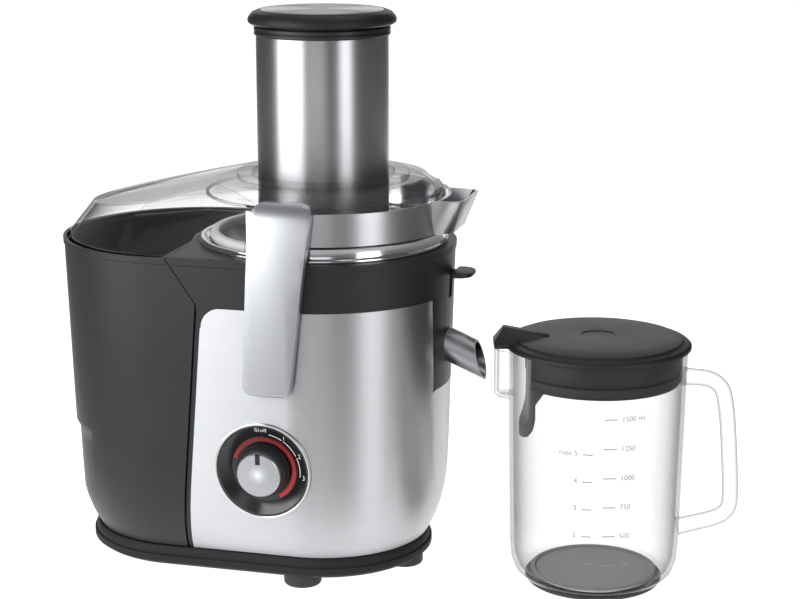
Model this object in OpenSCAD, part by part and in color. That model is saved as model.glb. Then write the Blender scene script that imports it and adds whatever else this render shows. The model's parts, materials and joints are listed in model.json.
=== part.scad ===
// Centrifugal juicer with a wide feed chute, and its juice jug. Millimetres, +Z up.
// The origin lies on the standing surface, on the axis of the motor, sieve and chute.
// +X points to the juice spout and the jug, -Y to the front with the dial.

/* [Body] */
// Distance between the axes of the two round ends of the plan outline
plan_span = 97; // [94:1:100]
// Radius of the round ends at the rim
rim_r = 94; // [93.8:0.1:94.4]
// Radius of the base plate's round ends
base_r = 77; // [76:0.5:78]

/* [Feed chute] */
// Bore of the feed chute
chute_bore = 84; // [83:0.5:84.5]
// Height of the upper edge of the chute's steel sleeve
chute_top = 381; // [370:1:395]

/* [Dial] */
// Sideways place of the dial's axis
dial_x = -18; // [-20:0.5:-16]
// Height of the dial's axis
dial_z = 91; // [89:0.5:94]
// Outer radius of the dial's rim
dial_r = 34.5; // [34:0.5:35.5]

/* [Jug] */
// Place of the jug's axis along X
jug_x = 196; // [190:1:230]
// Place of the jug's axis along Y
jug_y = 7; // [-20:1:20]
// Height of the jug's open edge
jug_top = 170; // [168:1:172]
// Angle of the jug's handle from +X
jug_turn = 15; // [0:5:30]

/* [Hidden] */
$fn = 72;

// Finishes
black = [0.13, 0.14, 0.15];
steel = [0.75, 0.76, 0.78];
clear = [0.85, 0.9, 0.95, 0.35];
white = [0.93, 0.93, 0.92];
rubber = [0.08, 0.08, 0.08];
copper = [0.72, 0.45, 0.2];

// Main heights
foot_h = 10;        // underside of the base plate
base_top = 24;      // the housing stands here
panel_z0 = 25;      // lower edge of the steel panel
panel_z1 = 204;     // upper edge of the steel panel, underside of the deck's band
rim_z = 237;        // rim of the deck and the pulp container
bowl_z = 196;       // underside of the juice bowl
band_z0 = 249;      // lower edge of the bowl's steel band
band_z1 = 271;      // upper edge of the bowl's steel band
band_r = 90.2;      // outer radius of the bowl's steel band
open_x = -28;       // the bowl's upper wall is open to the left of this
flange_z = 271.4;   // underside of the lid's round flange
lid_top = 283.5;    // flat top of the lid round the chute

// Side wall: a straight draft, with a lower corner that curves in
draft = 0.03;
corner_z = 90;
corner_in = 12.65;
bead = 0.7;
stations = [25, 28, 32, 38, 46, 58, 72, corner_z, rim_z - 4.6, rim_z - 4];
function corner_bite(z) =
    z < corner_z ? corner_in * pow((corner_z - z) / (corner_z - panel_z0), 3) : 0;
function body_r(z) =
    rim_r - bead - draft * (rim_z - z) - corner_bite(z) + (z > rim_z - 4.5 ? bead : 0);

// Seam between the motor side and the pulp container, seen from the front
knee_z = 206;
knee_x = -63;
function seam_x(z) = z < knee_z
    ? -79.5 + (knee_x + 79.5) * (z - panel_z0) / (knee_z - panel_z0)
    : knee_x - 21 * (z - knee_z) / (rim_z - knee_z);

skin = 1.4;         // the housing lies this far inside the body's outer surface
wall = 3;           // casing wall
facet_x = 86.6;     // flat end face on the spout side
no_facet = 200;     // flat end face well clear of the body, for parts that have none
nest_in = 4.2;      // the round nest for the container lies this far in
seam_gap = 0.45;    // half the gap at the seam
well_r = 82;        // bore of the well that takes the juice bowl

function levels(z0, z1) = concat([z0], [for (z = stations) if (z > z0 && z < z1) z], [z1]);

// Half outline of the side wall, for the round ends
module half_outline(inset, z0, z1) {
    polygon(concat([[0, z0]], [for (z = levels(z0, z1)) [body_r(z) - inset, z]], [[0, z1]]));
}

// Whole outline of the side wall, for the straight stretch
module full_outline(inset, z0, z1) {
    zs = levels(z0, z1);
    n = len(zs);
    polygon(concat([for (z = zs) [body_r(z) - inset, z]],
                   [for (i = [1:n]) [inset - body_r(zs[n - i]), zs[n - i]]]));
}

module straight_run(inset, z0, z1, x0, x1) {
    translate([x0, 0, 0]) rotate([90, 0, 90]) linear_extrude(x1 - x0)
        full_outline(inset, z0, z1);
}

module half_turn(a0) {
    rotate([0, 0, a0]) rotate_extrude(angle = 180) children();
}

// Block to the right of the seam, or to its left when side is negative
module seam_block(side, z0, z1, x_end) {
    knee = z0 < knee_z && z1 > knee_z ? [[seam_x(knee_z) + side, knee_z]] : [];
    rotate([90, 0, 0]) linear_extrude(220, center = true)
        polygon(concat([[seam_x(z0) + side, z0]], knee, [[seam_x(z1) + side, z1]],
                       [[x_end, z1], [x_end, z0]]));
}

// Solid of the motor side: round right end, straight run up to the seam, round nest
module motor_side(inset, z0, z1, side, facet) {
    intersection() {
        union() {
            half_turn(-90) half_outline(inset, z0, z1);
            intersection() {
                straight_run(inset, z0, z1, -95, 0);
                seam_block(side, z0, z1, 5);
            }
            rotate_extrude() half_outline(inset + nest_in, z0, z1);
        }
        translate([facet - 300, -150, z0 - 1]) cube([300, 300, z1 - z0 + 2]);
    }
}

// Solid of the container side: round left end and the straight run up to the seam
module container_side(inset, z0, z1, side) {
    intersection() {
        union() {
            translate([-plan_span, 0, 0]) half_turn(90) half_outline(inset, z0, z1);
            straight_run(inset, z0, z1, -plan_span, -55);
        }
        seam_block(-side, z0, z1, -250);
    }
}

// Racetrack slab with a stepped edge profile of [radius, z] points
module racetrack(points, x0, x1) {
    translate([x1, 0, 0]) half_turn(-90) polygon(points);
    translate([x0, 0, 0]) half_turn(90) polygon(points);
    n = len(points);
    mirrored = [for (i = [1:n]) [-points[n - i][0], points[n - i][1]]];
    translate([x0, 0, 0]) rotate([90, 0, 90]) linear_extrude(x1 - x0)
        polygon(concat(points, mirrored));
}

module ring(r_in, r_out, z0, z1) {
    translate([0, 0, z0]) difference() {
        cylinder(r = r_out, h = z1 - z0);
        translate([0, 0, -1]) cylinder(r = r_in, h = z1 - z0 + 2);
    }
}

module block(x, y, z) {
    translate([x[0], y[0], z[0]]) cube([x[1] - x[0], y[1] - y[0], z[1] - z[0]]);
}

// ---------------------------------------------------------------- base

foot_places = [[0, -58], [0, 58], [59, 0], [-146, 0]];
screw_places = [[-40, 55], [-40, -55], [50, 38], [50, -38]];
motor_post_r = 48.5;

module base_plate() {
    color(black) difference() {
        racetrack([[0, foot_h], [base_r - 4, foot_h], [base_r, foot_h + 3],
                   [base_r, 17.5], [base_r - 1.5, 18.2], [base_r - 1.5, 21],
                   [base_r - 3, base_top], [0, base_top]], -plan_span - 2, 0);
        // motor side is an open tray, container side is hollow from below
        intersection() {
            racetrack([[0, foot_h + 3], [69, foot_h + 3], [69, base_top + 1],
                       [0, base_top + 1]], -70, 0);
            block([-66, 80], [-80, 80], [foot_h, base_top + 2]);
        }
        block([-130, -70], [-62, 62], [foot_h - 1, 20]);
        // air slots under the fan
        for (i = [-4:4]) block([i * 7 - 1.5, i * 7 + 1.5], [-26, 26], [foot_h - 1, foot_h + 4]);
        for (p = screw_places) translate([p[0], p[1], foot_h - 1]) {
            cylinder(r = 1.8, h = 6);
            cylinder(r = 3.8, h = 2.6);
        }
    }
}

module rubber_feet() {
    color(rubber) for (p = foot_places)
        translate([p[0], p[1], 0]) rotate_extrude()
            polygon([[0, 0], [12, 0], [13.3, 1.5], [13.5, foot_h], [0, foot_h]]);
}

module base_screws() {
    color(steel) for (p = screw_places) translate([p[0], p[1], 0]) {
        translate([0, 0, foot_h]) cylinder(r = 3.5, h = 1.5);
        translate([0, 0, foot_h + 1.5]) cylinder(r = 1.7, h = 9);
    }
}

// ---------------------------------------------------------------- casing

duct_w = 14;        // half width of the opening for the outlet duct
inlet_x = -30;      // cord inlet in the rear wall
inlet_z = 75;

module motor_housing() {
    color(black) difference() {
        motor_side(skin, base_top, panel_z1, seam_gap, facet_x - skin);
        motor_side(skin + wall, base_top - 1, panel_z1 + 1, seam_gap + wall,
                   facet_x - skin - wall);
        block([75, 100], [-duct_w, duct_w], [138.5, panel_z1 + 1]);
        dial_frame() translate([0, 0, -12]) cylinder(r = dial_r + 0.15, h = 30);
        translate([inlet_x, 100, inlet_z]) rotate([90, 0, 0]) cylinder(r = 7, h = 30);
    }
}

module steel_front_panel() {
    left = 4.2;         // the panel's edge lies this far right of the seam
    round_r = 14;       // rounding of its upper left corner
    color(steel) difference() {
        intersection() {
            difference() {
                motor_side(0, panel_z0, panel_z1, left, facet_x);
                motor_side(1.3, panel_z0 - 1, panel_z1 + 1, left - 20, facet_x - 1.3);
            }
            union() {
                block([-95, 95], [-100, -26], [panel_z0, panel_z1]);
                block([40, 95], [-26.1, 26.1], [panel_z0, 137]);
                block([40, 95], [26, 100], [panel_z0, panel_z1]);
            }
        }
        dial_frame() translate([0, 0, -12]) cylinder(r = dial_r + 0.15, h = 30);
        translate([knee_x + left, 0, panel_z1]) rotate([90, 0, 0])
            linear_extrude(120) difference() {
                translate([-9, -round_r]) square([round_r + 8.2, round_r + 1]);
                translate([round_r - 0.8, -round_r]) circle(r = round_r);
            }
    }
}

module top_deck() {
    color(black) difference() {
        union() {
            difference() {
                motor_side(0, panel_z1, rim_z, seam_gap, no_facet);
                motor_side(wall, panel_z1 - 1, rim_z - 3.5, seam_gap + wall, no_facet);
            }
            // floor over the casing's flat end
            intersection() {
                motor_side(0, panel_z1, panel_z1 + 2.5, seam_gap, no_facet);
                block([84, 100], [-45, 45], [panel_z1, panel_z1 + 2.5]);
            }
            ring(well_r, well_r + 1.3, 190, rim_z - 3.4);
            ring(well_r, well_r + 2.4, panel_z1, rim_z - 3.4);
            ring(12.2, well_r + 1, 190, 193);
        }
        translate([0, 0, 193]) cylinder(r = well_r, h = 60);
        block([78, 88.1], [-duct_w, duct_w], [189, rim_z - 3.5]);
        // slot for the drip stop's tab
        block([86, 100], [-4.4, 4.4], [panel_z1 - 1, tab_z + 3.6]);
    }
}

module cord_inlet() {
    color(rubber) translate([inlet_x, 90.5, inlet_z]) rotate([90, 0, 0]) difference() {
        union() {
            cylinder(r = 6.8, h = 11);
            cylinder(r = 9, h = 3);
        }
        translate([0, 0, -1]) cylinder(r = 3.6, h = 13);
    }
}

// ---------------------------------------------------------------- juice outlet

spout_z = 167;      // height of the spout's inlet
tab_z = 216.4;      // underside of the drip stop's tab
blade_hole_r = 6;

module spout_axis() {
    translate([84, 0, spout_z + 2]) rotate([0, 113, 0]) children();
}

module outlet_spine() {
    color(black) difference() {
        union() {
            intersection() {
                half_turn(-90) half_outline(0, 138, panel_z1 - 0.2);
                block([facet_x + 0.1, 100], [-26, 26], [138, panel_z1 - 0.2]);
            }
            block([81.7, 87.9], [-duct_w + 0.4, duct_w - 0.4], [139, rim_z - 4]);
        }
        block([83.7, 88.3], [-11.6, 11.6], [142, rim_z]);
        block([80, 84], [-10.6, 10.6], [199, 213]);
        intersection() {
            spout_axis() cylinder(r = 11.6, h = 40);
            block([88.2, 110], [-20, 20], [140, 200]);
        }
        block([87, 99], [-4.4, 4.4], [200, 216]);
    }
}

module juice_spout() {
    color(steel) difference() {
        intersection() {
            spout_axis() cylinder(r = 11.5, h = 60);
            block([88.5, 130], [-20, 20], [120, 200]);
        }
        spout_axis() translate([0, 0, -1]) cylinder(r = 10, h = 70);
        // slanted mouth
        translate([112.5, 0, 162.5]) rotate([0, -14.5, 0]) block([0, 60], [-30, 30], [-60, 60]);
    }
}

module spout_seal() {
    color(rubber) translate([87.4, 0, spout_z]) rotate([0, 90, 0])
        ring(blade_hole_r, 10.5, 0, 0.9);
}

module drip_stop_blade() {
    color(black) difference() {
        block([85.6, 86.9], [-11, 11], [156, 221]);
        translate([80, 0, spout_z]) rotate([0, 90, 0]) cylinder(r = blade_hole_r, h = 12);
    }
}

module drip_stop_tab() {
    color(black) difference() {
        union() {
            block([86.9, 97], [-4, 4], [tab_z, tab_z + 3]);
            for (y = [-4, 4]) translate([99, y, tab_z]) cylinder(r = 10, h = 3);
            block([90, 109], [-4, 4], [tab_z, tab_z + 3]);
        }
        for (s = [-1, 1]) block([80, 95], [min(4 * s, 30 * s), max(4 * s, 30 * s)],
                                [tab_z - 1, tab_z + 5]);
    }
}

// ---------------------------------------------------------------- bowl

module juice_bowl() {
    color(steel) difference() {
        rotate_extrude() polygon([
            [12, bowl_z], [81.4, bowl_z], [81.4, rim_z], [88, rim_z], [88, rim_z + 2],
            [86.6, rim_z + 3.2], [86.6, band_z0 - 2.4], [88.5, band_z0 - 0.2],
            [88.5, band_z1 - 0.4], [85.5, band_z1 - 0.4], [85.5, 249], [84, 247],
            [84, 240.4], [79, 235], [79, bowl_z + 2.6], [14, bowl_z + 2.6], [14, 203],
            [12, 203]]);
        block([70, 90], [-10.6, 10.6], [199, 213]);
        block([-100, open_x], [-100, 100], [241, 280]);
    }
}

// Carrying lip of the band: straight sides that lean out to a flat front
module lip_solid(inset, z0, z1) {
    hull() {
        translate([0, 0, z0]) linear_extrude(0.5) polygon([
            [70, inset - 30], [89, inset - 25], [98 - inset, inset - 17.5],
            [98 - inset, 17.5 - inset], [89, 25 - inset], [70, 30 - inset]]);
        translate([0, 0, z1 - 0.5]) linear_extrude(0.5) polygon([
            [70, inset - 30], [88, inset - 28], [104 - inset, inset - 26], [107 - inset, -20],
            [107 - inset, 20], [104 - inset, 26 - inset], [88, 28 - inset], [70, 30 - inset]]);
    }
}

module bowl_band() {
    color(steel) difference() {
        union() {
            ring(band_r - 1.6, band_r, band_z0, band_z1);
            difference() {
                lip_solid(0, band_z0, band_z1 + 1.5);
                lip_solid(1.5, band_z0 + 1.8, band_z1 + 3);
                translate([0, 0, band_z0 - 1]) cylinder(r = band_r - 0.8, h = 30);
            }
        }
        block([-100, open_x], [-100, 100], [band_z0 - 1, band_z1 + 1]);
    }
}

// ---------------------------------------------------------------- motor

module post_places() {
    for (a = [45:90:315]) rotate([0, 0, a]) translate([motor_post_r, 0, 0]) children();
}

module motor_bracket() {
    color(steel) difference() {
        union() {
            translate([0, 0, 40]) cylinder(r = 54, h = 4);
            translate([0, 0, 158]) cylinder(r = 54, h = 4);
            ring(11, 13.5, 44, 51);
            ring(11, 13.5, 162, 168.5);
            post_places() translate([0, 0, 17]) cylinder(r = 4, h = 145);
        }
        translate([0, 0, 30]) cylinder(r = 6, h = 150);
        for (a = [0:90:270]) rotate([0, 0, a]) translate([32, 0, 30]) cylinder(r = 10, h = 150);
    }
}

module motor_mount_bushes() {
    color(rubber) post_places() ring(1.6, 8, 13, 17);
}

module motor_stator() {
    color(steel) ring(25.5, 44.3, 72, 128);
    color(copper) {
        ring(26.5, 38, 64.5, 72);
        ring(26.5, 38, 128, 135.5);
    }
}

module lower_bearing() {
    color(steel) ring(4.04, 10.95, 44, 51);
}

module upper_bearing() {
    color(steel) ring(4.04, 10.95, 162, 168);
}

module brush_holders() {
    color(copper) for (s = [0, 180]) rotate([0, 0, s]) block([-4, 4], [12.5, 31], [137, 145]);
}

module shaft_seal() {
    color(rubber) ring(8.5, 12.15, 190, 193);
}

module motor_shaft() {
    color(steel) translate([0, 0, 43]) cylinder(r = 4, h = 153);
}

module armature() {
    color(copper) ring(4.02, 24.8, 74, 126);
}

module commutator() {
    color(copper) ring(4.02, 12, 134, 148);
}

module cooling_fan() {
    color(black) {
        ring(4.02, 36, 53, 55);
        difference() {
            ring(4.02, 10, 55, 62);
            ring(3, 4.02, 54, 63);
        }
        for (a = [0:30:330]) rotate([0, 0, a]) block([9.9, 35], [-0.8, 0.8], [55, 62]);
    }
}

module drive_coupling() {
    color(black) difference() {
        translate([0, 0, 186]) cylinder(r = 8, h = 15.5);
        translate([0, 0, 185]) cylinder(r = 4.02, h = 11.2);
    }
}

module control_board() {
    color("darkgreen") block([-58, 10], [-61.6, -60], [55, 125]);
}

// ---------------------------------------------------------------- sieve

module sieve_hub() {
    color(white) rotate_extrude() polygon([
        [8.05, bowl_z + 0.6], [11.4, bowl_z + 0.6], [11.4, 203.8], [50, 203.8],
        [50, 205.2], [8.05, 205.2]]);
}

module grater_disc() {
    color(steel) ring(8.2, 54.4, 205.2, 206.4);
}

module sieve_basket() {
    color(steel) rotate_extrude() polygon([
        [50.1, 203.8], [56, 203.8], [76.2, 237.5], [76.2, 238.5], [74.9, 238.5],
        [55, 205.2], [50.1, 205.2]]);
}

module sieve_rim() {
    color(white) rotate_extrude() polygon([
        [73.6, 238.5], [79.2, 238.5], [80, 243.4], [78.6, 245.4], [74.6, 245.4],
        [73.6, 244]]);
}

// ---------------------------------------------------------------- dial

dial_tilt = 3;      // the front wall leans back by this much below the dial
dish_z = -4.4;      // floor of the dish, along the dial's axis
knob_mid = 5.4;     // joint between the knob's base and its cap
knob_top = 10.2;    // face of the knob

module dial_frame() {
    translate([dial_x, -body_r(dial_z), dial_z]) rotate([90 + dial_tilt, 0, 0]) children();
}

module dial_rim() {
    color(steel) dial_frame() ring(dial_r - 1.5, dial_r, -3, 1.3);
}

module dial_bezel() {
    r = dial_r - 1.6;
    color(black) dial_frame() rotate_extrude() polygon([
        [3.6, -7], [24, -7], [r, -2], [r, 0.7], [r - 1.3, 0.7], [23.6, dish_z], [3.6, dish_z]]);
}

module dial_light_ring() {
    color("red") dial_frame() rotate([0, 0, -60]) rotate_extrude(angle = 222)
        translate([20.4, dish_z]) square([2.6, 1.4]);
}

module knob_base() {
    color(black) dial_frame() rotate_extrude() polygon([
        [3.05, dish_z + 0.6], [17.6, dish_z + 0.6], [19, -2], [17.4, 4.2], [16.6, knob_mid],
        [3.05, knob_mid]]);
}

module knob_cap() {
    color(steel) dial_frame() difference() {
        rotate_extrude() polygon([[0, knob_mid], [15.4, knob_mid], [15.4, 9.2], [14.8, 9.9],
                                  [9, knob_top], [0, knob_top + 0.3]]);
        block([-1.7, 1.7], [7.9, 17], [knob_top - 1.6, knob_top + 2]);
    }
}

module knob_pointer() {
    color(black) dial_frame() difference() {
        block([-1.6, 1.6], [8, 15.2], [knob_top - 1.55, knob_top]);
        translate([0, 15.2, knob_top]) rotate([45, 0, 0]) block([-3, 3], [-0.5, 3], [-3, 3]);
    }
}

module knob_shaft() {
    color(steel) dial_frame() translate([0, 0, -24]) cylinder(r = 3, h = 29.2);
}

module speed_switch() {
    color(white) dial_frame() difference() {
        block([-11, 11], [-11, 11], [-26.5, -12]);
        translate([0, 0, -30]) cylinder(r = 3.05, h = 20);
    }
}

// ---------------------------------------------------------------- latches

latch_pin_y = 95.6;
latch_pin_z = 150;
pin_x = -10;

module interlock_switch() {
    color(white) block([-22, -2], [-84, -73], [166, 182]);
}

module latch_pins() {
    color(steel) for (s = [-1, 1]) translate([pin_x, s * latch_pin_y, latch_pin_z]) {
        translate([-12, 0, 0]) rotate([0, 90, 0]) cylinder(r = 1.2, h = 24);
        // lug that ties the pin to the casing
        difference() {
            union() {
                translate([-4, 0, 0]) rotate([0, 90, 0]) cylinder(r = 2.2, h = 8);
                block([-4, 4], [min(0, -s * 4), max(0, -s * 4)], [-1.2, 1.2]);
            }
            translate([-13, 0, 0]) rotate([0, 90, 0]) cylinder(r = 1.2, h = 26);
        }
    }
}

// Side profile [distance from the centre plane, z] of a latch arm
latch_profile = concat(
    [for (a = [0:15:180]) [latch_pin_y - 3.5 * cos(a), latch_pin_z - 3.5 * sin(a)]],
    [[100.6, 226], [100.2, 244], [99, 258], [96.6, 268], [92.6, 275.4], [88.8, 278.2],
     [85.2, 278.6], [85.2, 275.3], [89.8, 274.8], [91, 272.6], [91, 250], [94.9, 236]]);

module latch_arm() {
    difference() {
        intersection() {
            rotate([90, 0, 90]) translate([0, 0, -60]) linear_extrude(120)
                polygon([for (p = latch_profile) [-p[0], p[1]]]);
            rotate([90, 0, 0]) linear_extrude(130) latch_front_outline();
        }
        translate([pin_x - 12.3, -latch_pin_y, latch_pin_z]) rotate([0, 90, 0])
            cylinder(r = 1.25, h = 24.6);
        translate([pin_x - 4.4, -latch_pin_y, latch_pin_z]) rotate([0, 90, 0])
            cylinder(r = 2.6, h = 8.8);
        block([pin_x - 4.4, pin_x + 4.4], [-latch_pin_y, -latch_pin_y + 6],
              [latch_pin_z - 6, latch_pin_z + 2.6]);
    }
}

// The arm seen from the front: it leans a little and grows wider towards the top
module latch_front_outline() {
    polygon(concat(
        [for (a = [180:15:270]) [-21 + 7 * cos(a), 153.5 + 7 * sin(a)]],
        [for (a = [270:15:360]) [-1 + 7 * cos(a), 153.5 + 7 * sin(a)]],
        [[20.5, 268]],
        [for (a = [15:15:90]) [13 + 7.5 * cos(a), 271.2 + 7.5 * sin(a)]],
        [for (a = [90:15:180]) [-12.5 + 9 * cos(a), 269.7 + 9 * sin(a)]]));
}

module latch_front() {
    color(steel) latch_arm();
}

module latch_rear() {
    color(steel) mirror([0, 1, 0]) latch_arm();
}

// ---------------------------------------------------------------- lid and chute

sleeve_in = 44.1;
sleeve_out = 46;

module lid_dome(inset) {
    hull() {
        translate([-plan_span, 0, 237.6 - inset]) cylinder(r = 89 - inset, h = 2.4, $fn = 64);
        block([open_x - 3, open_x - 1 + inset], [inset - 88.5, 88.5 - inset],
              [237.6 - inset, 240]);
        translate([0, 0, lid_top - 2 - inset]) cylinder(r = 73 - inset, h = 2, $fn = 64);
        // sloping top over the container
        translate([-100, 0, 270.5 - inset]) rotate([0, -9.5, 0])
            cylinder(r = 70 - inset, h = 1.5, $fn = 64);
    }
}

module lid_shell() {
    color(clear) difference() {
        union() {
            lid_dome(0);
            rotate_extrude() polygon([
                [0, flange_z], [86, flange_z], [86, 272.8], [83.4, 276.4], [80, 277.6],
                [73.5, 282.6], [72, lid_top], [61, lid_top], [60.5, lid_top + 2.5],
                [0, lid_top + 2.5]]);
            // catches under the latch hooks
            for (s = [-1, 1]) scale([1, s, 1]) translate([-19, 0, 0]) rotate([90, 0, 90])
                linear_extrude(32) polygon([
                    [-70, flange_z], [-87.6, flange_z], [-87.6, 273], [-87, 273.6],
                    [-70, 273.6]]);
        }
        lid_dome(2.2);
        rotate_extrude() polygon([
            [0, 230], [79.6, 230], [79.6, 275], [71.8, 280.8], [71, 281.3], [0, 281.3]]);
        block([open_x - 1.4, 120], [-120, 120], [230, flange_z - 0.2]);
        translate([0, 0, lid_top]) cylinder(r = 50.5, h = 4);
        translate([0, 0, 200]) cylinder(r = sleeve_out + 0.1, h = 100);
        ring(80.3, 82.6, flange_z - 1, flange_z + 1.6);
    }
}

module pulp_guide() {
    color(clear) translate([0, 31, 0]) rotate([90, 0, 0]) linear_extrude(2)
        polygon([[-156, 240], [-143, 252], [-102, 269.9], [-77, 261.6], [-60, 252],
                 [-60, 247], [-100, 247]]);
}

module lid_seal() {
    color(rubber) ring(80.4, 82.5, flange_z, flange_z + 1.5);
}

module chute_liner() {
    color(clear) ring(chute_bore / 2, sleeve_in - 0.1, 212, chute_top + 3);
}

module chute_sleeve() {
    color(steel) ring(sleeve_in, sleeve_out, 252, chute_top);
}

module chute_collar() {
    color(black) translate([0, 0, chute_top]) rotate_extrude() polygon([
        [sleeve_in, 0], [46.8, 0], [47.3, 0.6], [47.3, 2.2], [46.6, 2.7], [46.6, 3.1],
        [47.3, 3.6], [47.3, 5.4], [46.8, 6], [sleeve_in, 6]]);
}

// ---------------------------------------------------------------- pusher

pusher_r = chute_bore / 2 - 0.7;

module pusher_tube() {
    color(black) difference() {
        translate([0, 0, 215]) cylinder(r = pusher_r, h = chute_top + 7.4 - 215);
        translate([0, 0, 218]) cylinder(r = pusher_r - 2.4, h = 300);
    }
}

module pusher_cap() {
    color(black) translate([0, 0, chute_top + 7.4]) rotate_extrude() polygon([
        [0, 0], [49.6, 0], [51.2, 1.2], [51.6, 3], [51, 5], [48.5, 8], [45, 9.4],
        [43.1, 9.8], [43.1, 8.6], [0, 8.6]]);
}

module pusher_inlay() {
    color(steel) translate([0, 0, chute_top + 16]) rotate_extrude()
        polygon([[0, 0], [43, 0], [42.8, 1.1], [36, 1.5], [0, 1.5]]);
}

// ---------------------------------------------------------------- pulp container

// Finger grip sunk into the container's end; the inset keeps a wall behind it
module grip_recess(inset) {
    half_angle = 52 + inset;
    translate([-plan_span, 0, 0]) rotate([0, 0, 180 - half_angle])
        rotate_extrude(angle = 2 * half_angle) polygon([
            [body_r(104) + 1 - inset, 105 + inset], [body_r(98) - 2.4 - inset, 98 + inset / 2],
            [body_r(67) - 2 - inset, 67], [body_r(46) + 1 - inset, 46 - inset],
            [body_r(46) + 12, 46 - inset], [body_r(104) + 12, 105 + inset]]);
}

module pulp_container() {
    shell = 2.6;        // wall of the container
    nest_gap = 0.6;     // clearance round the casing's nest
    color(black) difference() {
        container_side(0, panel_z0 + 0.4, rim_z, seam_gap);
        rotate_extrude() half_outline(nest_in - nest_gap, panel_z0 - 1, rim_z + 1);
        grip_recess(0);
        difference() {
            container_side(shell, panel_z0 + 0.4 + shell, rim_z + 1, seam_gap + shell);
            rotate_extrude()
                half_outline(nest_in - nest_gap - shell, panel_z0, rim_z + 2);
            grip_recess(shell);
        }
    }
}

// ---------------------------------------------------------------- jug

module jug_frame() {
    translate([jug_x, jug_y, 0]) rotate([0, 0, jug_turn]) children();
}

jug_outer = [[0, 3.5], [46, 3.5], [51.5, 5.2], [56.3, 10], [58.8, 18], [59.6, 30],
             [62.3, jug_top]];
jug_inner = [[0, 6.5], [45, 6.5], [49.6, 7.8], [53.6, 12], [55.9, 19.2], [56.7, 30],
             [59.3, jug_top], [59.3, jug_top + 5], [0, jug_top + 5]];

beak_x = -60.4;     // axis of the pouring beak, from the jug's axis

module jug_outer_solid() {
    rotate_extrude() polygon(concat(jug_outer, [[0, jug_top]]));
}

module jug_body() {
    color(clear) jug_frame() difference() {
        union() {
            jug_outer_solid();
            // pouring beak
            translate([beak_x, 0, 134]) rotate_extrude() polygon([
                [0, 0], [9.6, 0], [11.6, 2.5], [11.6, jug_top - 136], [0, jug_top - 136]]);
        }
        rotate_extrude() polygon(jug_inner);
        translate([beak_x, 0, 136.4]) rotate_extrude() polygon([
            [0, 0], [8.2, 0], [9.4, 1.6], [9.4, 60], [0, 60]]);
    }
}

handle_path = [[59, 148], [80, 146.5], [90.5, 136], [96.5, 57], [93, 48.5], [86, 44],
               [56, 36.8]];

module jug_handle() {
    color(clear) jug_frame() difference() {
        for (i = [0:len(handle_path) - 2]) hull() for (k = [i, i + 1])
            translate([handle_path[k][0], 0, handle_path[k][1]]) sphere(r = 5.8, $fn = 20);
        rotate_extrude() polygon([for (p = concat(jug_outer, [[0, jug_top]]))
            [p[0] > 0 ? p[0] + 0.05 : 0, p[1]]]);
    }
}

module jug_base_ring() {
    color(rubber) jug_frame() rotate_extrude()
        polygon([[40, 0], [46.8, 0], [48, 1.4], [48, 3.2], [45.8, 3.5], [40, 3.5]]);
}

skirt_cut_x = -48.4;    // the lid's skirt is open on the beak side of this

module jug_lid() {
    rim = jug_top + 0.6;
    color(black) jug_frame() union() {
        difference() {
            rotate_extrude() polygon([
                [0, jug_top + 1.4], [54.4, jug_top + 1.4], [54.4, jug_top - 23.5],
                [57.2, jug_top - 23.5], [57.2, jug_top - 13.1], [58.4, jug_top - 13],
                [58.6, rim], [64.4, rim], [64.4, rim + 1.8], [62.6, rim + 3.4],
                [58.2, rim + 4.4], [57.6, rim + 5.4], [40, rim + 6.8], [12, rim + 7.4],
                [11.4, rim + 6.8], [0, rim + 6.8]]);
            block([-70, skirt_cut_x], [-70, 70], [jug_top - 30, rim - 0.01]);
        }
        // hood over the beak
        hull() {
            block([-72.6, -34], [-12, 12], [rim, rim + 2.6]);
            block([-66, -64], [-3, 3], [jug_top + 13, jug_top + 14]);
            block([-36, -34], [-4, 4], [jug_top + 7, jug_top + 8]);
        }
    }
}

module jug_lid_seal() {
    color(rubber) jug_frame() difference() {
        ring(57.25, 58.6, jug_top - 21, jug_top - 16);
        block([-70, skirt_cut_x], [-70, 70], [jug_top - 30, jug_top]);
    }
}

module foam_separator() {
    hook = [[-44.7, jug_top + 0.3], [-44.7, 124], [-45.8, 118], [-49.4, 110.6], [-53, 107.4],
            [-56, 106.4], [-57.4, 107.4], [-57, 110], [-54, 113.4], [-50.8, 118.4],
            [-48.6, 125], [-48.2, 132], [-48.2, jug_top + 0.3]];
    color("dimgray") jug_frame() intersection() {
        union() {
            rotate([90, 0, 0]) linear_extrude(54, center = true) polygon(hook);
            rotate([90, 0, 0]) linear_extrude(2.4, center = true)
                polygon([[-45, 150], [-33, 150], [-33, 141], [-45, 124]]);
        }
        cylinder(r = 54.2, h = 300);
    }
}

base_plate();
rubber_feet();
base_screws();
motor_housing();
steel_front_panel();
top_deck();
outlet_spine();
juice_spout();
spout_seal();
drip_stop_blade();
drip_stop_tab();
cord_inlet();
juice_bowl();
bowl_band();
motor_stator();
motor_bracket();
motor_mount_bushes();
upper_bearing();
lower_bearing();
brush_holders();
shaft_seal();
control_board();
speed_switch();
interlock_switch();
dial_bezel();
dial_rim();
dial_light_ring();
latch_pins();
motor_shaft();
armature();
commutator();
cooling_fan();
drive_coupling();
sieve_hub();
grater_disc();
sieve_basket();
sieve_rim();
knob_base();
knob_cap();
knob_pointer();
knob_shaft();
latch_front();
latch_rear();
lid_shell();
pulp_guide();
lid_seal();
chute_liner();
chute_sleeve();
chute_collar();
pusher_tube();
pusher_cap();
pusher_inlay();
pulp_container();
jug_body();
jug_handle();
jug_base_ring();
jug_lid();
jug_lid_seal();
foam_separator();
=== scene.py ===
"""Looks of a centrifugal juicer and its juice jug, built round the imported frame."""
import json
import math

import bmesh
import bpy
from mathutils import Matrix, Vector


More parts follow.
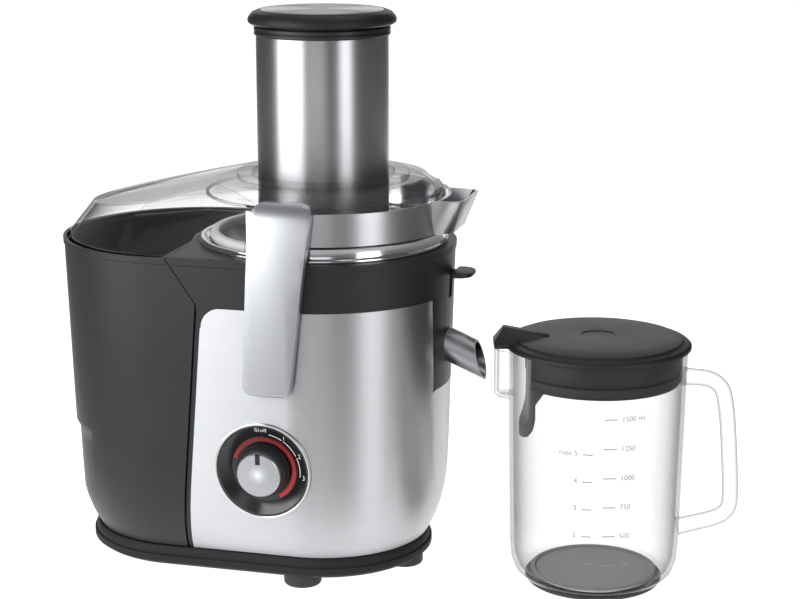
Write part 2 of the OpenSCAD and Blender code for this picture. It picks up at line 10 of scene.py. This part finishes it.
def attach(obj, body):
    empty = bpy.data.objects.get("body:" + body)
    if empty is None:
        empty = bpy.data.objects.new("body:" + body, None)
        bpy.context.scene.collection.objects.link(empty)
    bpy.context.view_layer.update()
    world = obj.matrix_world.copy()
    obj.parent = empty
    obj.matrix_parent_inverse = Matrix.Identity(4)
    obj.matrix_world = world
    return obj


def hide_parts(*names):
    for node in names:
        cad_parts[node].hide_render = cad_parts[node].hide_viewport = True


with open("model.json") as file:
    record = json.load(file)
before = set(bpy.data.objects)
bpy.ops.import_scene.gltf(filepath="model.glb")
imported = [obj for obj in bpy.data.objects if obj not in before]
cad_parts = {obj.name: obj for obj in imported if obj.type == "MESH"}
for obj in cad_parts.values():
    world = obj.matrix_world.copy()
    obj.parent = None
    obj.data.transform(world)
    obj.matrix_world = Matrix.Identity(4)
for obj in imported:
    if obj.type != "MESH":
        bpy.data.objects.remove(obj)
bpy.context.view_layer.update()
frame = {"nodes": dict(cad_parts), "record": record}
NODES = frame["nodes"]
MM = 0.001


# ------------------------------------------------------------------ shader arithmetic

class Wire:
    """A shader socket that takes arithmetic: each operator adds one Math node."""

    def __init__(self, finish, socket):
        self.finish, self.socket = finish, socket

    def math(self, operation, *values):
        return self.finish.node("ShaderNodeMath", {"operation": operation}, list(values))

    def __add__(self, other):
        return self.math("ADD", self, other)

    def __radd__(self, other):
        return self.math("ADD", other, self)

    def __sub__(self, other):
        return self.math("SUBTRACT", self, other)

    def __rsub__(self, other):
        return self.math("SUBTRACT", other, self)

    def __mul__(self, other):
        return self.math("MULTIPLY", self, other)

    def __rmul__(self, other):
        return self.math("MULTIPLY", other, self)

    def __pow__(self, other):
        return self.math("POWER", self, other)

    def __gt__(self, other):
        return self.math("GREATER_THAN", self, other)


class Finish:
    """A Principled material: constants on its own sockets, patterns added by wires."""

    def __init__(self, name, color, roughness, metallic=0.0, **constants):
        self.material = bpy.data.materials.new(name)
        self.material.use_nodes = True
        self.tree = self.material.node_tree
        self.shader = self.tree.nodes["Principled BSDF"]
        self.set("Base Color", (*color, 1.0))
        self.set("Roughness", roughness)
        self.set("Metallic", metallic)
        for key, value in constants.items():
            self.set(key.replace("_", " ").title().replace("Ior", "IOR"), value)

    def set(self, socket, value):
        target = self.shader.inputs[socket]
        if isinstance(value, Wire):
            self.tree.links.new(value.socket, target)
        else:
            target.default_value = value

    def node(self, kind, settings=None, values=None, output=0):
        made = self.tree.nodes.new(kind)
        for key, value in (settings or {}).items():
            if key == "stops":
                ramp = made.color_ramp
                while len(ramp.elements) < len(value):
                    ramp.elements.new(0.5)
                for element, (place, color) in zip(ramp.elements, value):
                    element.position, element.color = place, color
            else:
                setattr(made, key, value)
        pairs = values.items() if isinstance(values, dict) else enumerate(values or [])
        for key, value in pairs:
            if isinstance(value, Wire):
                self.tree.links.new(value.socket, made.inputs[key])
            else:
                made.inputs[key].default_value = value
        return Wire(self, made.outputs[output])

    def place(self, offset=(0, 0, 0), scale=(1, 1, 1), turn=(0, 0, 0)):
        """Object coordinates, centred, turned and stretched by a Mapping node."""
        here = self.node("ShaderNodeTexCoord", output="Object")
        return self.node("ShaderNodeMapping", {"vector_type": "POINT"},
                         {"Vector": here, "Location": offset, "Scale": scale,
                          "Rotation": turn})

    def noise(self, size_mm, stretch=(1, 1, 1), detail=2.0, roughness=0.5):
        """Noise between 0 and 1 whose grain is size_mm across, longer where stretch > 1."""
        scale = tuple(1.0 / s for s in stretch)
        return self.node("ShaderNodeTexNoise", {"noise_dimensions": "3D"},
                         {"Vector": self.place(scale=scale), "Scale": 1.0 / (size_mm * MM),
                          "Detail": detail, "Roughness": roughness}, output="Fac")

    def axis(self, letter, offset=(0, 0, 0)):
        """One Object coordinate in metres, measured from a point."""
        shift = tuple(-value for value in offset)
        split = self.node("ShaderNodeSeparateXYZ", None, [self.place(offset=shift)],
                          output=letter)
        return split

    def blend(self, factor, first, second):
        """Colour between two colours."""
        made = self.tree.nodes.new("ShaderNodeMix")
        made.data_type = "RGBA"
        self.tree.links.new(factor.socket, made.inputs[0])
        for index, value in ((6, first), (7, second)):
            if isinstance(value, Wire):
                self.tree.links.new(value.socket, made.inputs[index])
            else:
                made.inputs[index].default_value = (*value, 1.0)
        return Wire(self, made.outputs[2])

    def bump(self, height, depth_mm, strength=1.0):
        self.set("Normal", self.node("ShaderNodeBump", None,
                                     {"Height": height, "Strength": strength,
                                      "Distance": depth_mm * MM}, output="Normal"))


# ------------------------------------------------------------------ finishes

def satin_black(name, color=(0.022, 0.025, 0.028), roughness=0.36, gloss=0.45):
    """Moulded black plastic: fine spark grain, cloudy gloss, faint handling marks."""
    paint = Finish(name, color, roughness, ior=1.5, specular_ior_level=gloss)
    cloud = paint.noise(38, detail=3.0)
    grain = paint.noise(0.55, detail=2.0)
    lighter = tuple(min(1.0, 1.45 * value + 0.004) for value in color)
    paint.set("Base Color", paint.blend(cloud * 0.55 + grain * 0.25, color, lighter))
    paint.set("Roughness", cloud * 0.10 + grain * 0.06 + (roughness - 0.08))
    paint.bump(grain, 0.012, 0.55)
    return paint.material


def brushed_steel(name, color, roughness, long_way=(60, 60, 1), size_mm=0.22):
    """Brushed stainless: fine scratches that run along the stretched axes."""
    paint = Finish(name, color, roughness, 1.0, anisotropic=0.8, anisotropic_rotation=0.25)
    fine = paint.noise(size_mm, long_way, 3.0, 0.65)
    broad = paint.noise(size_mm * 9, tuple(2.2 * v for v in long_way), 2.0)
    cloud = paint.noise(60, detail=2.0)
    darker = tuple(0.80 * value for value in color)
    paint.set("Base Color", paint.blend(fine * 0.55 + broad * 0.30, color, darker))
    paint.set("Roughness", fine * 0.10 + cloud * 0.06 + (roughness - 0.08))
    paint.bump(fine * 0.7 + broad * 0.3, 0.006, 0.5)
    return paint.material


def satin_silver(name):
    """Silver lacquer on a moulding: fine metallic flake under a soft clear coat."""
    paint = Finish(name, (0.46, 0.47, 0.49), 0.36, 0.85)
    flake = paint.noise(0.35, detail=1.0)
    cloud = paint.noise(45, detail=2.0)
    paint.set("Base Color", paint.blend(flake * 0.6 + cloud * 0.3,
                                        (0.50, 0.51, 0.53), (0.38, 0.39, 0.41)))
    paint.set("Roughness", flake * 0.10 + cloud * 0.06 + 0.28)
    paint.bump(flake, 0.004, 0.4)
    return paint.material


def polished_steel(name, color=(0.72, 0.73, 0.75), roughness=0.10):
    """Polished stainless: nearly mirror, with faint rubbing marks."""
    paint = Finish(name, color, roughness, 1.0)
    rub = paint.noise(1.2, (1, 1, 7), 3.0)
    cloud = paint.noise(16, detail=2.0)
    paint.set("Base Color", paint.blend(cloud, color, tuple(0.9 * v for v in color)))
    paint.set("Roughness", rub * 0.08 + cloud * 0.05 + (roughness - 0.03))
    paint.bump(rub, 0.003, 0.35)
    return paint.material


def clear_plastic(name, face=(0.12, 0.125, 0.13), edge=(0.03, 0.034, 0.038), least=0.035,
                  most=0.92, power=2.9):
    """Clear copolyester: see-through face on, dark and shiny where it turns away."""
    paint = Finish(name, face, 0.03, ior=1.45, specular_ior_level=0.5)
    facing = paint.node("ShaderNodeLayerWeight", None, {"Blend": 0.5}, output="Facing")
    haze = paint.noise(22, detail=2.0)
    scuff = paint.noise(0.8, (1, 1, 5), 3.0)
    paint.set("Alpha", facing ** power * (most - least) + least + haze * 0.02)
    paint.set("Base Color", paint.blend(facing ** 1.4, face, edge))
    paint.set("Roughness", haze * 0.03 + scuff * 0.02 + 0.01)
    return paint.material


def moulded(name, color, roughness=0.4, grain_mm=0.7):
    """Plain moulded plastic or soft rubber with an even fine grain."""
    paint = Finish(name, color, roughness)
    grain = paint.noise(grain_mm, detail=2.0)
    cloud = paint.noise(18, detail=2.0)
    darker = tuple(0.78 * value for value in color)
    paint.set("Base Color", paint.blend(grain * 0.3 + cloud * 0.5, color, darker))
    paint.set("Roughness", grain * 0.12 + (roughness - 0.05))
    paint.bump(grain, 0.015, 0.5)
    return paint.material


def winding(name):
    """Enamelled copper turns as fine rings."""
    paint = Finish(name, (0.55, 0.22, 0.09), 0.3, 0.9)
    turns = paint.node("ShaderNodeTexWave", {"wave_type": "BANDS", "bands_direction": "Z"},
                       {"Vector": paint.place(), "Scale": 260.0, "Distortion": 0.6},
                       output="Fac")
    paint.set("Base Color", paint.blend(turns, (0.25, 0.09, 0.035), (0.68, 0.30, 0.13)))
    paint.bump(turns, 0.15, 0.8)
    return paint.material


def glowing_red(name, centre):
    """Light guide: glows red, brighter towards its lower end."""
    paint = Finish(name, (0.14, 0.004, 0.004), 0.3, emission_strength=1.0)
    down = centre - paint.axis("Z")
    glow = down * 22.0 + 0.42 + paint.noise(5) * 0.2
    paint.set("Emission Color", paint.blend(glow, (0.02, 0.001, 0.001), (0.36, 0.016, 0.01)))
    return paint.material


def sieve_mesh(name, centre=(0.0, 0.0, 0.0)):
    """Perforated stainless: rows of round holes by angle and height."""
    paint = Finish(name, (0.66, 0.67, 0.69), 0.22, 1.0)
    angle = paint.node("ShaderNodeMath", {"operation": "ARCTAN2"},
                       [paint.axis("Y", centre), paint.axis("X", centre)])
    rows = paint.axis("Z") * 520.0
    around = angle * 36.0
    hole = rows.math("SINE", rows * 6.283) * around.math("SINE", around * 6.283)
    wear = paint.noise(8)
    paint.set("Base Color", paint.blend(hole > 0.25, (0.66, 0.67, 0.69), (0.02, 0.02, 0.02)))
    paint.set("Roughness", wear * 0.1 + 0.18)
    return paint.material


DIAL_HEIGHT = 0.091
FINISH = {
    "black_plastic": satin_black("black_plastic", (0.011, 0.0125, 0.0135), 0.42, 0.35),
    "base_plastic": satin_black("base_plastic", (0.012, 0.0135, 0.015), 0.62, 0.15),
    "brushed_panel": brushed_steel("brushed_panel", (0.56, 0.57, 0.585), 0.40),
    "brushed_sleeve": brushed_steel("brushed_sleeve", (0.52, 0.525, 0.54), 0.38),
    "satin_silver": satin_silver("satin_silver"),
    "polished_steel": polished_steel("polished_steel"),
    "clear_plastic": clear_plastic("clear_plastic"),
    "white_plastic": moulded("white_plastic", (0.84, 0.84, 0.83), 0.3),
    "black_rubber": moulded("black_rubber", (0.016, 0.016, 0.017), 0.62, 0.5),
    "copper_winding": winding("copper_winding"),
    "motor_steel": brushed_steel("motor_steel", (0.42, 0.43, 0.45), 0.38, (1, 1, 20), 0.5),
    "board_green": moulded("board_green", (0.02, 0.16, 0.07), 0.3, 2.0),
    "red_light": glowing_red("red_light", DIAL_HEIGHT),
    "separator_grey": satin_black("separator_grey", (0.055, 0.06, 0.066), 0.4),
}
SIEVE_MESH = sieve_mesh("sieve_mesh")
# Mid grey for the jug's bottom disc, a painted reflection of the clear bottom.
GREY_REFLECTION_PAINT = moulded("jug_bottom_painted_reflection", (0.30, 0.31, 0.32), 0.25)
THICK_CLEAR = clear_plastic("thick_clear", (0.16, 0.165, 0.17), (0.02, 0.022, 0.024), 0.06,
                            0.97, 1.7)
SATIN_SPOUT = brushed_steel("satin_spout", (0.42, 0.425, 0.44), 0.34, (1, 1, 20), 0.4)
DISH_BLACK = satin_black("dish_black", (0.010, 0.011, 0.012), 0.2, 0.6)
INK = {
    "white_ink": moulded("white_ink", (0.86, 0.86, 0.86), 0.5, 0.4),
    "grey_ink": moulded("grey_ink", (0.22, 0.23, 0.24), 0.5, 0.4),
}
SLOT_OF = {row["node"]: row["material_slot"] for row in frame["record"]["subparts"]}
BODY_OF = {node: body for body, group in frame["record"]["behaviour"]["bodies"].items()
           for node in group}


# ------------------------------------------------------------------ mesh tools

SHARP = math.radians(28)


def soften(mesh, sharp=SHARP):
    """Smooth shading, with edges sharper than the angle kept crisp."""
    for face in mesh.faces:
        face.smooth = True
    for edge in mesh.edges:
        edge.smooth = len(edge.link_faces) == 2 and edge.calc_face_angle(0.0) < sharp


def finish_piece(name, mesh, body, slot, replaced=(), material=None):
    """Turns a bmesh into a piece of the object that rides on a body."""
    soften(mesh)
    data = bpy.data.meshes.new(name)
    mesh.to_mesh(data)
    mesh.free()
    piece = bpy.data.objects.new(name, data)
    bpy.context.scene.collection.objects.link(piece)
    data.materials.append(material or FINISH[slot])
    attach(piece, body)
    if replaced:
        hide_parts(*replaced)
    return piece


def merged_copy(node):
    """The CAD node's mesh with its loose triangles joined and flat faces made whole."""
    mesh = bmesh.new()
    mesh.from_mesh(NODES[node].data)
    bmesh.ops.remove_doubles(mesh, verts=mesh.verts, dist=2e-6)
    bmesh.ops.dissolve_limit(mesh, angle_limit=math.radians(0.4), use_dissolve_boundaries=False,
                             verts=mesh.verts, edges=mesh.edges)
    return mesh


def ease_edges(mesh, width_mm, least_angle=35):
    """Rounds the crisp edges of a moulding or pressing."""
    limit = math.radians(least_angle)
    crisp = [edge for edge in mesh.edges
             if len(edge.link_faces) == 2 and edge.calc_face_angle(0.0) > limit]
    bmesh.ops.bevel(mesh, geom=crisp, offset=width_mm * MM, offset_type="OFFSET", segments=2,
                    profile=0.5, affect="EDGES", clamp_overlap=True, material=-1)


def refined(node, edge_mm=0.0, material=None):
    """Replaces a CAD node with a smooth-shaded copy of itself, its edges eased."""
    mesh = merged_copy(node)
    if edge_mm:
        ease_edges(mesh, edge_mm)
    bmesh.ops.triangulate(mesh, faces=[face for face in mesh.faces if len(face.verts) > 4])
    return finish_piece(node + "_finish", mesh, BODY_OF[node], SLOT_OF[node], (node,), material)


def crowned(node, edge_mm, rise_mm):
    """A latch whose outer face is gently crowned from side to side."""
    mesh = merged_copy(node)
    ease_edges(mesh, edge_mm)
    xs = [vert.co.x for vert in mesh.verts]
    middle, half = (min(xs) + max(xs)) / 2, (max(xs) - min(xs)) / 2
    for step in range(-6, 7):
        bmesh.ops.bisect_plane(mesh, geom=mesh.verts[:] + mesh.edges[:] + mesh.faces[:],
                               plane_co=(middle + half * step / 7, 0, 0), plane_no=(1, 0, 0))
    for vert in mesh.verts:
        bulge = 1.0 - ((vert.co.x - middle) / half) ** 2
        vert.co.y += math.copysign(rise_mm * MM * bulge, vert.co.y)
    bmesh.ops.triangulate(mesh, faces=[face for face in mesh.faces if len(face.verts) > 4])
    return finish_piece(node + "_finish", mesh, BODY_OF[node], SLOT_OF[node], (node,))


def profile_chain(mesh, points_mm):
    """Vertices joined by edges in the XZ plane; points are (radius, height)."""
    verts = [mesh.verts.new((r * MM, 0.0, z * MM)) for r, z in points_mm]
    edges = [mesh.edges.new(pair) for pair in zip(verts, verts[1:])]
    return verts, edges


def lathe(points_mm, centre_mm, steps):
    """A turned solid: the profile spun a full turn about a vertical axis."""
    mesh = bmesh.new()
    verts, edges = profile_chain(mesh, points_mm)
    bmesh.ops.spin(mesh, geom=verts + edges, cent=(0, 0, 0), axis=(0, 0, 1),
                   angle=2 * math.pi, steps=steps, use_merge=True, use_duplicate=False)
    bmesh.ops.remove_doubles(mesh, verts=mesh.verts, dist=1e-6)
    bmesh.ops.recalc_face_normals(mesh, faces=mesh.faces)
    bmesh.ops.translate(mesh, verts=mesh.verts,
                        vec=(centre_mm[0] * MM, centre_mm[1] * MM, 0.0))
    return mesh


def turned(mesh, matrix):
    bmesh.ops.transform(mesh, matrix=matrix, verts=mesh.verts)
    return mesh


# ------------------------------------------------------------------ pieces

EASED = {    # radius in mm of the eased edges, on the nodes that have them
    "base_plate": 0.5, "rubber_feet": 0.8, "latch_front": 0.9, "latch_rear": 0.9,
    "juice_bowl": 0.3, "drip_stop_tab": 0.8, "jug_lid": 0.5, "pusher_inlay": 0.2,
    "sieve_rim": 0.6, "foam_separator": 0.5, "cord_inlet": 0.8, "chute_sleeve": 0.2,
    "dial_rim": 0.35,
}
LATCH_CROWN = 1.6    # how far a latch's face rises in its middle, mm
SPECIAL = {"sieve_basket": SIEVE_MESH, "dial_bezel": DISH_BLACK}


def jug_matrix():
    return Matrix.Translation((JUG_X, JUG_Y, 0.0)) @ Matrix.Rotation(JUG_TURN, 4, "Z")


def rounded_path(points, rounds=3):
    """Cuts the corners of an open path again and again until it runs smoothly."""
    for _ in range(rounds):
        cut = [points[0]]
        for (ax, az), (bx, bz) in zip(points, points[1:]):
            cut.append((ax * 0.78 + bx * 0.22, az * 0.78 + bz * 0.22))
            cut.append((ax * 0.22 + bx * 0.78, az * 0.22 + bz * 0.78))
        points = cut + [points[-1]]
    return points


ROD_R, ROOT_FLARE = 5.7, 1.6    # the handle's rod and how much its roots widen, mm


def jug_handle():
    """The jug's clear handle: one rod, bent at the corners and flared at its roots."""
    path = rounded_path([(60.6, 148), (80, 146.5), (90.5, 136), (96.5, 57), (93, 48.5),
                         (86, 44), (58.2, 37.4)])
    mesh = bmesh.new()
    loops = []
    last = len(path) - 1
    for index, (x, z) in enumerate(path):
        ahead = path[min(index + 1, last)]
        behind = path[max(index - 1, 0)]
        along = Vector((ahead[0] - behind[0], 0, ahead[1] - behind[1])).normalized()
        out = Vector((-along.z, 0, along.x))
        flare = ROOT_FLARE * math.exp(-min(index, last - index) / 3.0)
        radius = (ROD_R + flare) * MM
        place = Matrix((out, (0, 0.92, 0), along)).transposed().to_4x4()
        place.translation = Vector((x, 0, z)) * MM
        verts = bmesh.ops.create_circle(mesh, segments=28, radius=radius, matrix=place,
                                        cap_ends=index in (0, last))["verts"]
        loops.append([edge for edge in {e for vert in verts for e in vert.link_edges}])
    for one, two in zip(loops, loops[1:]):
        bmesh.ops.bridge_loops(mesh, edges=one + two)
    bmesh.ops.recalc_face_normals(mesh, faces=mesh.faces)
    turned(mesh, jug_matrix())
    finish_piece("jug_handle_rod", mesh, "jug", "clear_plastic", ("jug_handle",), THICK_CLEAR)


def jug_floor():
    """The thick bottom of the jug with its moulded rim, its mid grey a painted reflection seen
    in the clear bottom.
    """
    steps = [(0.0, 7.0), (40.0, 7.0), (41.5, 7.9), (43.5, 7.9), (44.6, 7.1), (44.6, 6.65),
             (0.0, 6.65)]
    mesh = lathe(steps, (196.0, 7.0), 128)
    finish_piece("jug_floor", mesh, "jug", "clear_plastic", material=GREY_REFLECTION_PAINT)



SPECIAL["juice_spout"] = SATIN_SPOUT
for node in NODES:
    if node.startswith("latch_") and node != "latch_pins":
        crowned(node, EASED[node], LATCH_CROWN)
    elif node != "jug_handle":
        refined(node, EASED.get(node, 0.0), SPECIAL.get(node))


# ------------------------------------------------------------------ printing

def lettering(text, size_mm, align="CENTER"):
    """Text as a flat mesh in the XY plane, in millimetres, centred on its own height."""
    curve = bpy.data.curves.new("lettering", "FONT")
    curve.body, curve.size, curve.align_x, curve.align_y = text, size_mm, align, "CENTER"
    curve.resolution_u = 3
    writer = bpy.data.objects.new("lettering", curve)
    bpy.context.scene.collection.objects.link(writer)
    bpy.context.view_layer.update()
    data = bpy.data.meshes.new_from_object(writer)
    mesh = bmesh.new()
    mesh.from_mesh(data)
    bpy.data.objects.remove(writer)
    bpy.data.curves.remove(curve)
    bpy.data.meshes.remove(data)
    bmesh.ops.triangulate(mesh, faces=mesh.faces)
    return mesh


def dash(start_mm, end_mm, height_mm, width_mm=0.65):
    """A short straight printed line, cut into steps so that it can follow a curve."""
    mesh = bmesh.new()
    spot = Matrix.Translation(((start_mm + end_mm) / 2, height_mm, 0))
    bmesh.ops.create_grid(mesh, x_segments=5, y_segments=1, size=0.5,
                          matrix=spot @ Matrix.Diagonal((end_mm - start_mm, width_mm, 1, 1)))
    return mesh


def arc_dash(radius_mm, start, end, width_mm=0.75):
    """A printed piece of a ring between two clock angles."""
    mesh = bmesh.new()
    ends = [mesh.verts.new((*polar(radius_mm + side * width_mm / 2, start), 0))
            for side in (-1, 1)]
    edge = mesh.edges.new(ends)
    bmesh.ops.spin(mesh, geom=ends + [edge], cent=(0, 0, 0), axis=(0, 0, -1),
                   angle=math.radians(end - start), steps=int(end - start) // 2,
                   use_merge=False, use_duplicate=False)
    return mesh


def moved(mesh, x_mm, y_mm):
    bmesh.ops.translate(mesh, verts=mesh.verts, vec=(x_mm, y_mm, 0))
    return mesh


def joined(meshes):
    """One mesh out of several."""
    whole = bmesh.new()
    for part in meshes:
        data = bpy.data.meshes.new("part")
        part.to_mesh(data)
        part.free()
        whole.from_mesh(data)
        bpy.data.meshes.remove(data)
    return whole


def printed(name, meshes, wrap, body, slot, ink, cuts=()):
    """Wraps flat printing on a surface: wrap maps (x, y) in mm to a point in metres."""
    mesh = joined(meshes)
    for normal, places in cuts:
        for place in places:
            bmesh.ops.bisect_plane(mesh, geom=mesh.verts[:] + mesh.edges[:] + mesh.faces[:],
                                   plane_co=Vector(normal) * place, plane_no=normal)
    for vert in mesh.verts:
        vert.co = wrap(vert.co.x, vert.co.y)
    return finish_piece(name, mesh, body, slot, material=ink)


def polar(radius, clock_degrees):
    """A point at a clock angle, measured clockwise from the top."""
    a = math.radians(clock_degrees)
    return radius * math.sin(a), radius * math.cos(a)


DISH_FLOOR_R, DISH_FLOOR_Z = 23.6, -4.4      # where the dish's slope starts, mm
DISH_RIM_R, DISH_RIM_Z = 31.6, 0.7           # and where it ends
INK_LIFT = 0.9                               # keeps the letters clear of the slope
MARK_ARC_R, LABEL_R = 26.4, 29.5


def dial_place(x, y):
    """A point printed on the sloping side of the dial's dish."""
    slope = (DISH_RIM_Z - DISH_FLOOR_Z) / (DISH_RIM_R - DISH_FLOOR_R)
    depth = DISH_FLOOR_Z + (math.hypot(x, y) - DISH_FLOOR_R) * slope + INK_LIFT
    frame_of_dial = (Matrix.Translation((-0.018, -0.08892, 0.091))
                     @ Matrix.Rotation(math.radians(93), 4, "X"))
    return frame_of_dial @ Vector((x * MM, y * MM, depth * MM))


def dial_scale():
    marks = []
    for text, angle, size in (("0/off", -1, 4.8), ("1", 33, 4.8), ("2", 65, 4.8),
                              ("3", 96, 4.8)):
        marks.append(moved(lettering(text, size), *polar(LABEL_R, angle)))
    for start, end in ((10, 31.5), (34.5, 63.5), (66.5, 97)):
        marks.append(arc_dash(MARK_ARC_R, start, end))
    printed("dial_scale", marks, dial_place, "housing", "white_plastic", INK["white_ink"])


JUG_X, JUG_Y, JUG_TURN = 0.196, 0.007, math.radians(15)


def jug_wall(x, z):
    """A point printed on the jug's outer wall, x millimetres round from its front."""
    radius = 59.6 + 2.7 * (z - 30) / 140 + 0.08
    a = x / radius
    spot = Vector((radius * math.sin(a) * MM, -radius * math.cos(a) * MM, z * MM))
    spot = Matrix.Rotation(JUG_TURN, 4, "Z") @ spot
    return spot + Vector((JUG_X, JUG_Y, 0.0))


def jug_scale():
    marks = []
    for index, volume in enumerate((1500, 1250, 1000, 750, 500, 250)):
        z = 134.6 - 20.75 * index
        text = "1500 ml" if volume == 1500 else str(volume)
        marks.append(moved(lettering(text, 5.2, "LEFT"), 11.0, z))
        marks.append(dash(-0.8, 8.2, z))
    for cups in (5, 4, 3, 2, 1):
        z = 110.3 - 19.5 * (5 - cups)
        text = "cups 5" if cups == 5 else str(cups)
        marks.append(moved(lettering(text, 5.2, "RIGHT"), -18.2, z))
        marks.append(dash(-14.8, -8.0, z - 0.6))
    printed("jug_scale", marks, jug_wall, "jug", "separator_grey", INK["grey_ink"],
            [((1, 0, 0), (-30, -25, -20, 5, 12, 16, 20, 24, 28))])


dial_scale()
jug_scale()
jug_floor()
jug_handle()


# ------------------------------------------------------------------ floor, light, camera

VIEW_AZIMUTH = math.radians(15.0)
LOOK_AT = Vector((0.0464, 0.0342, 0.1873))


def studio():
    """Wide pale floor, soft boxes and a dim room."""
    floor = bmesh.new()
    bmesh.ops.create_grid(floor, x_segments=8, y_segments=8, size=FLOOR_HALF)
    data = bpy.data.meshes.new("pale_floor")
    floor.to_mesh(data)
    floor.free()
    plate = bpy.data.objects.new("pale_floor", data)
    bpy.context.scene.collection.objects.link(plate)
    data.materials.append(pale_floor())

    world = bpy.data.worlds.new("studio")
    bpy.context.scene.world = world
    world.use_nodes = True
    sky = world.node_tree.nodes["Background"]
    sky.inputs["Color"].default_value = (0.95, 0.97, 1.0, 1.0)
    sky.inputs["Strength"].default_value = ROOM

    for name, azimuth, distance, height, size, power in SOFTBOXES:
        lamp = bpy.data.lights.new(name, "AREA")
        lamp.shape, lamp.size, lamp.size_y, lamp.energy = "RECTANGLE", size[0], size[1], power
        holder = bpy.data.objects.new(name, lamp)
        bpy.context.scene.collection.objects.link(holder)
        a = math.radians(azimuth)
        holder.location = Vector((distance * math.sin(a), -distance * math.cos(a), height))
        back = holder.location - Vector((0.0, 0.0, 0.2))
        if height < 1.2:
            back.z = 0.0
        holder.rotation_mode = "QUATERNION"
        holder.rotation_quaternion = back.to_track_quat("Z", "Y")
        holder.visible_camera = False


def pale_floor():
    """Pale floor with a soft glowing strip that runs away from the viewer."""
    paint = Finish("pale_floor", (0.55, 0.55, 0.55), 0.9, emission_strength=1.0)
    across = paint.axis("X") * math.cos(VIEW_AZIMUTH) + paint.axis("Y") * math.sin(VIEW_AZIMUTH)
    away = paint.axis("Y") * math.cos(VIEW_AZIMUTH) - paint.axis("X") * math.sin(VIEW_AZIMUTH)
    middle = LOOK_AT.x * math.cos(VIEW_AZIMUTH) + LOOK_AT.y * math.sin(VIEW_AZIMUTH)
    aside = (across - middle).math("ABSOLUTE", across - middle)
    inside = (away * 0.20 + 0.50 - aside) * 5.0
    behind = (away + 0.33) * 4.6
    glow = inside.math("MINIMUM", inside, behind)
    glow = glow.math("MAXIMUM", glow.math("MINIMUM", glow, 1.0), 0.0)
    paint.set("Emission Color", paint.blend(glow, (0.10, 0.10, 0.10), (1.06, 1.06, 1.06)))
    return paint.material


FLOOR_HALF = 9.0
ROOM = 0.10
SOFTBOXES = (
    ("left_box", -41, 1.15, 0.55, (1.05, 1.1), 16),
    ("right_box", 57, 1.15, 0.55, (0.42, 1.1), 4.6),
    ("front_box", 8, 1.6, 0.60, (0.85, 0.9), 2.8),
    ("overhead", 160, 0.25, 1.6, (1.3, 1.1), 5),
    ("back_box", 195, 1.9, 0.85, (1.6, 1.0), 4.5),
)


def camera():
    """Views the juicer from the front, a little to the spout side and above."""
    azimuth, elevation, distance = VIEW_AZIMUTH, math.radians(13.4), 1.44
    back = Vector((math.sin(azimuth) * math.cos(elevation),
                   -math.cos(azimuth) * math.cos(elevation), math.sin(elevation)))
    data = bpy.data.cameras.new("camera")
    data.sensor_width = 36.0
    data.lens = 89.55
    holder = bpy.data.objects.new("camera", data)
    bpy.context.scene.collection.objects.link(holder)
    holder.location = LOOK_AT + back * distance
    holder.rotation_mode = "QUATERNION"
    holder.rotation_quaternion = back.to_track_quat("Z", "Y")
    bpy.context.scene.camera = holder


camera()
studio()
bpy.context.scene.view_settings.view_transform = "Standard"
bpy.context.view_layer.update()
